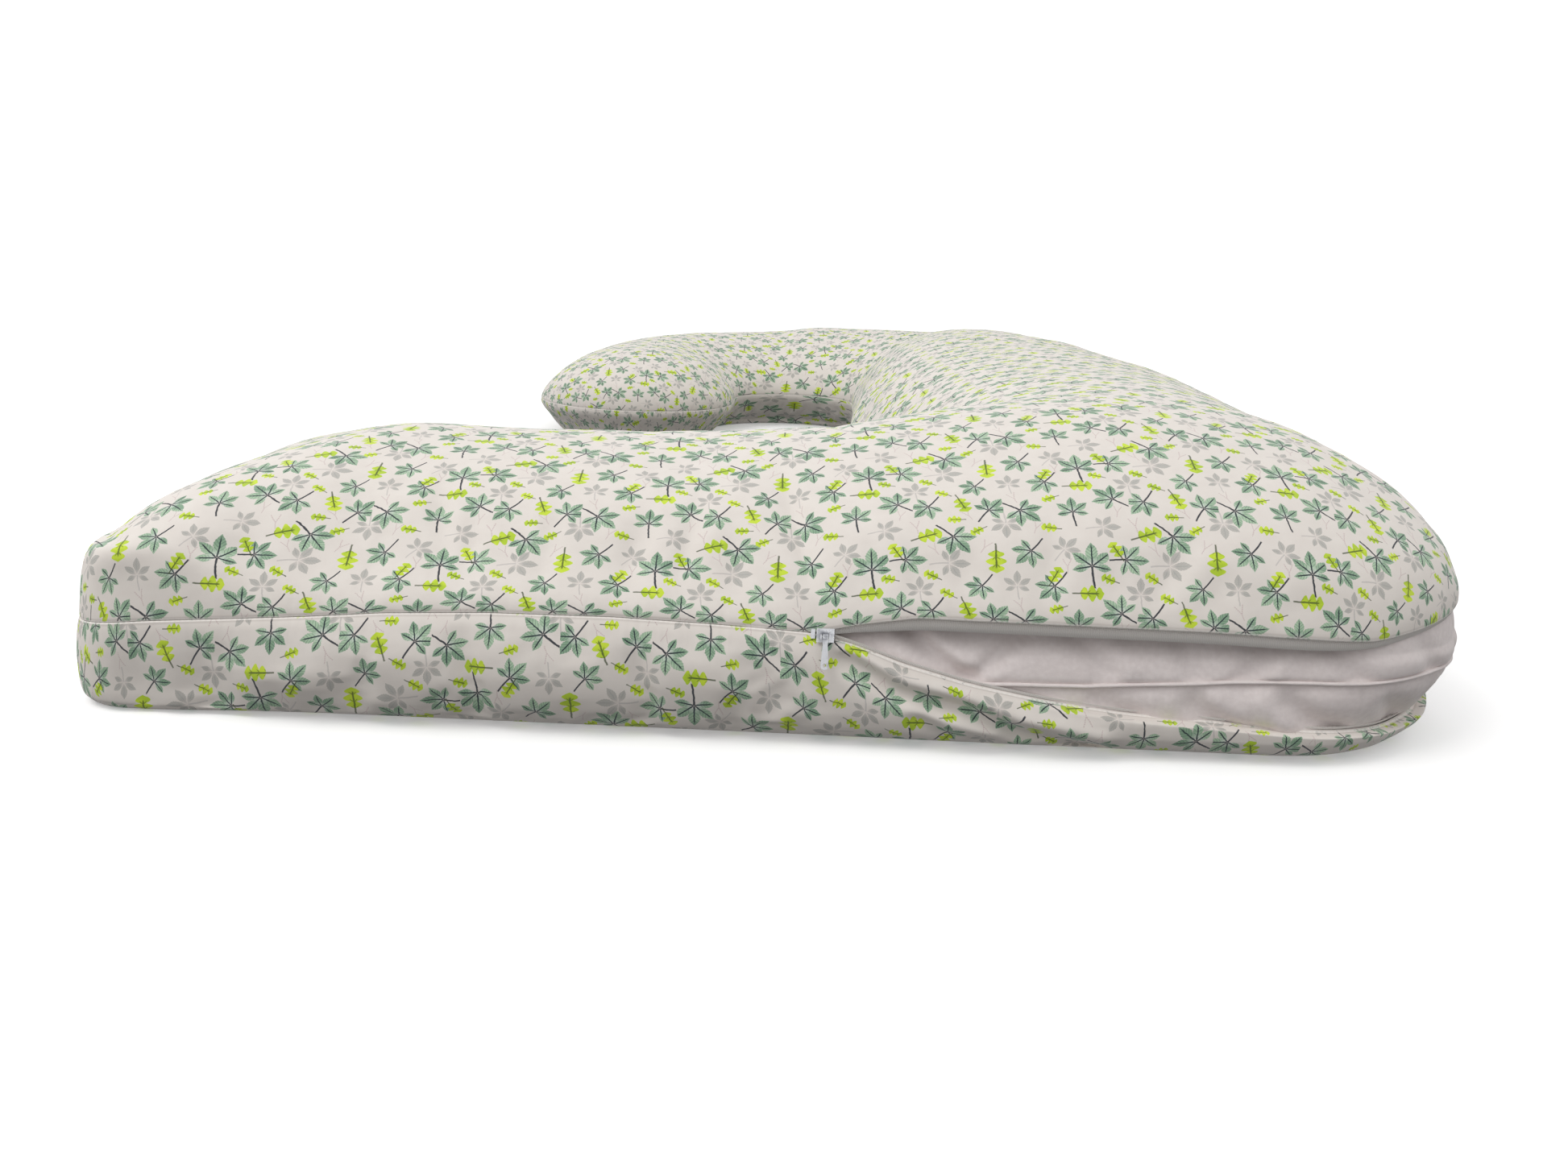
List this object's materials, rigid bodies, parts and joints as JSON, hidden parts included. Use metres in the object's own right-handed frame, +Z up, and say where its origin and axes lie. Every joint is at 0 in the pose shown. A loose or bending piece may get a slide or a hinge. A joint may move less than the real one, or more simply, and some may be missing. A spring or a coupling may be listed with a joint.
{
  "type": "nursing pillow",
  "caption": "C-shaped nursing and body pillow with one hooked end, a printed two-panel zip cover and a plain stuffed inner case.",
  "frame": {"origin": "on the floor under the middle of the pillow's box", "axes": "+X to the right along the square-ended arm, +Y along the spine towards the hooked end, +Z up"},
  "size_m": [0.8138, 1.544, 0.162],
  "materials": {
    "printed_cotton": "plain-weave brushed cotton, pinkish cream ground with a green leaf print",
    "case_cloth": "plain undyed case cloth, slightly creased",
    "fibre": "loose white polyester fibre",
    "zip_tape": "white woven zip tape",
    "zip_coil": "white nylon coil",
    "zip_metal": "silvery white lacquered zinc"
  },
  "bodies": {
    "pillow": {"cover_top_panel": "printed_cotton", "cover_bottom_panel": "printed_cotton", "inner_case_top_panel": "case_cloth", "inner_case_bottom_panel": "case_cloth", "inner_case_seam": "case_cloth", "fibre_filling": "fibre", "zip_tape_upper": "zip_tape", "zip_tape_lower": "zip_tape", "zip_coil_upper": "zip_coil", "zip_coil_lower": "zip_coil", "zip_bottom_stop": "zip_metal", "zip_top_stop_upper": "zip_metal", "zip_top_stop_lower": "zip_metal"},
    "slider": {"zip_slider": "zip_metal"},
    "pull": {"zip_pull_tab": "zip_metal"}
  },
  "joints": [
    {"name": "zip_slide", "type": "slide", "parent": "pillow", "child": "slider", "axis": [1, 0, 0], "range_m": [0, 0.22]},
    {"name": "pull_swing", "type": "hinge", "parent": "slider", "child": "pull", "pos_m": [-0.0042, -0.7661, 0.059], "axis": [1, 0, 0], "range_deg": [-130, 4]}
  ]
}
